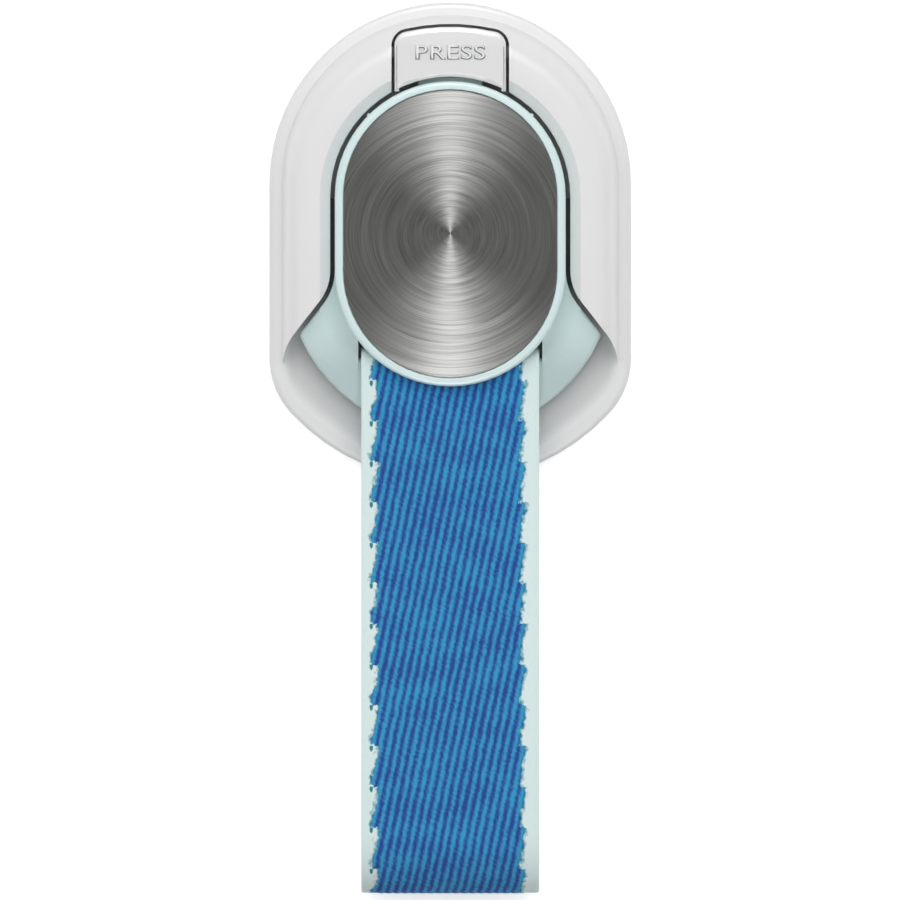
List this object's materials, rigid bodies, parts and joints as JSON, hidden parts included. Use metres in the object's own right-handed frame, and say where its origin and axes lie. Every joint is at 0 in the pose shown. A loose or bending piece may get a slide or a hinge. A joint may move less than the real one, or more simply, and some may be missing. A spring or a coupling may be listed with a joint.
{
  "type": "phone finger strap",
  "caption": "Finger strap for a phone's back: stick-on white housing, latched mint carriage with an oval steel plate, press button and a blue webbing loop.",
  "frame": {"origin": "on the adhesive face, under the middle of the steel plate", "axes": "+Z out of the phone's back, +Y along the phone away from the strap's loop, +X to the right seen from above"},
  "size_m": [0.0326, 0.0803, 0.0084],
  "materials": {
    "foam_tape": "matte closed-cell foam tape",
    "white_plastic": "satin white moulding",
    "gloss_white_plastic": "high gloss white moulding",
    "spring_steel": "drawn wire",
    "mint_plastic": "satin pale mint moulding",
    "brushed_steel": "circular brushed steel",
    "webbing": "twill-ribbed blue webbing with pale mint edges"
  },
  "bodies": {
    "housing": {"adhesive_pad": "foam_tape", "base_housing": "white_plastic", "button_spring": "spring_steel"},
    "button": {"press_button": "gloss_white_plastic"},
    "slider": {"carriage": "mint_plastic", "steel_plate": "brushed_steel", "finger_strap": "webbing"}
  },
  "joints": [
    {"name": "button_press", "type": "slide", "parent": "housing", "child": "button", "axis": [0, 0, -1], "range_m": [0, 0.001], "stiffness_N_per_m": 400, "springref_m": -0.002, "deforming": ["button_spring"]},
    {"name": "carriage_slide", "type": "slide", "parent": "housing", "child": "slider", "axis": [0, -1, 0], "range_m": [0, 0.04]}
  ]
}
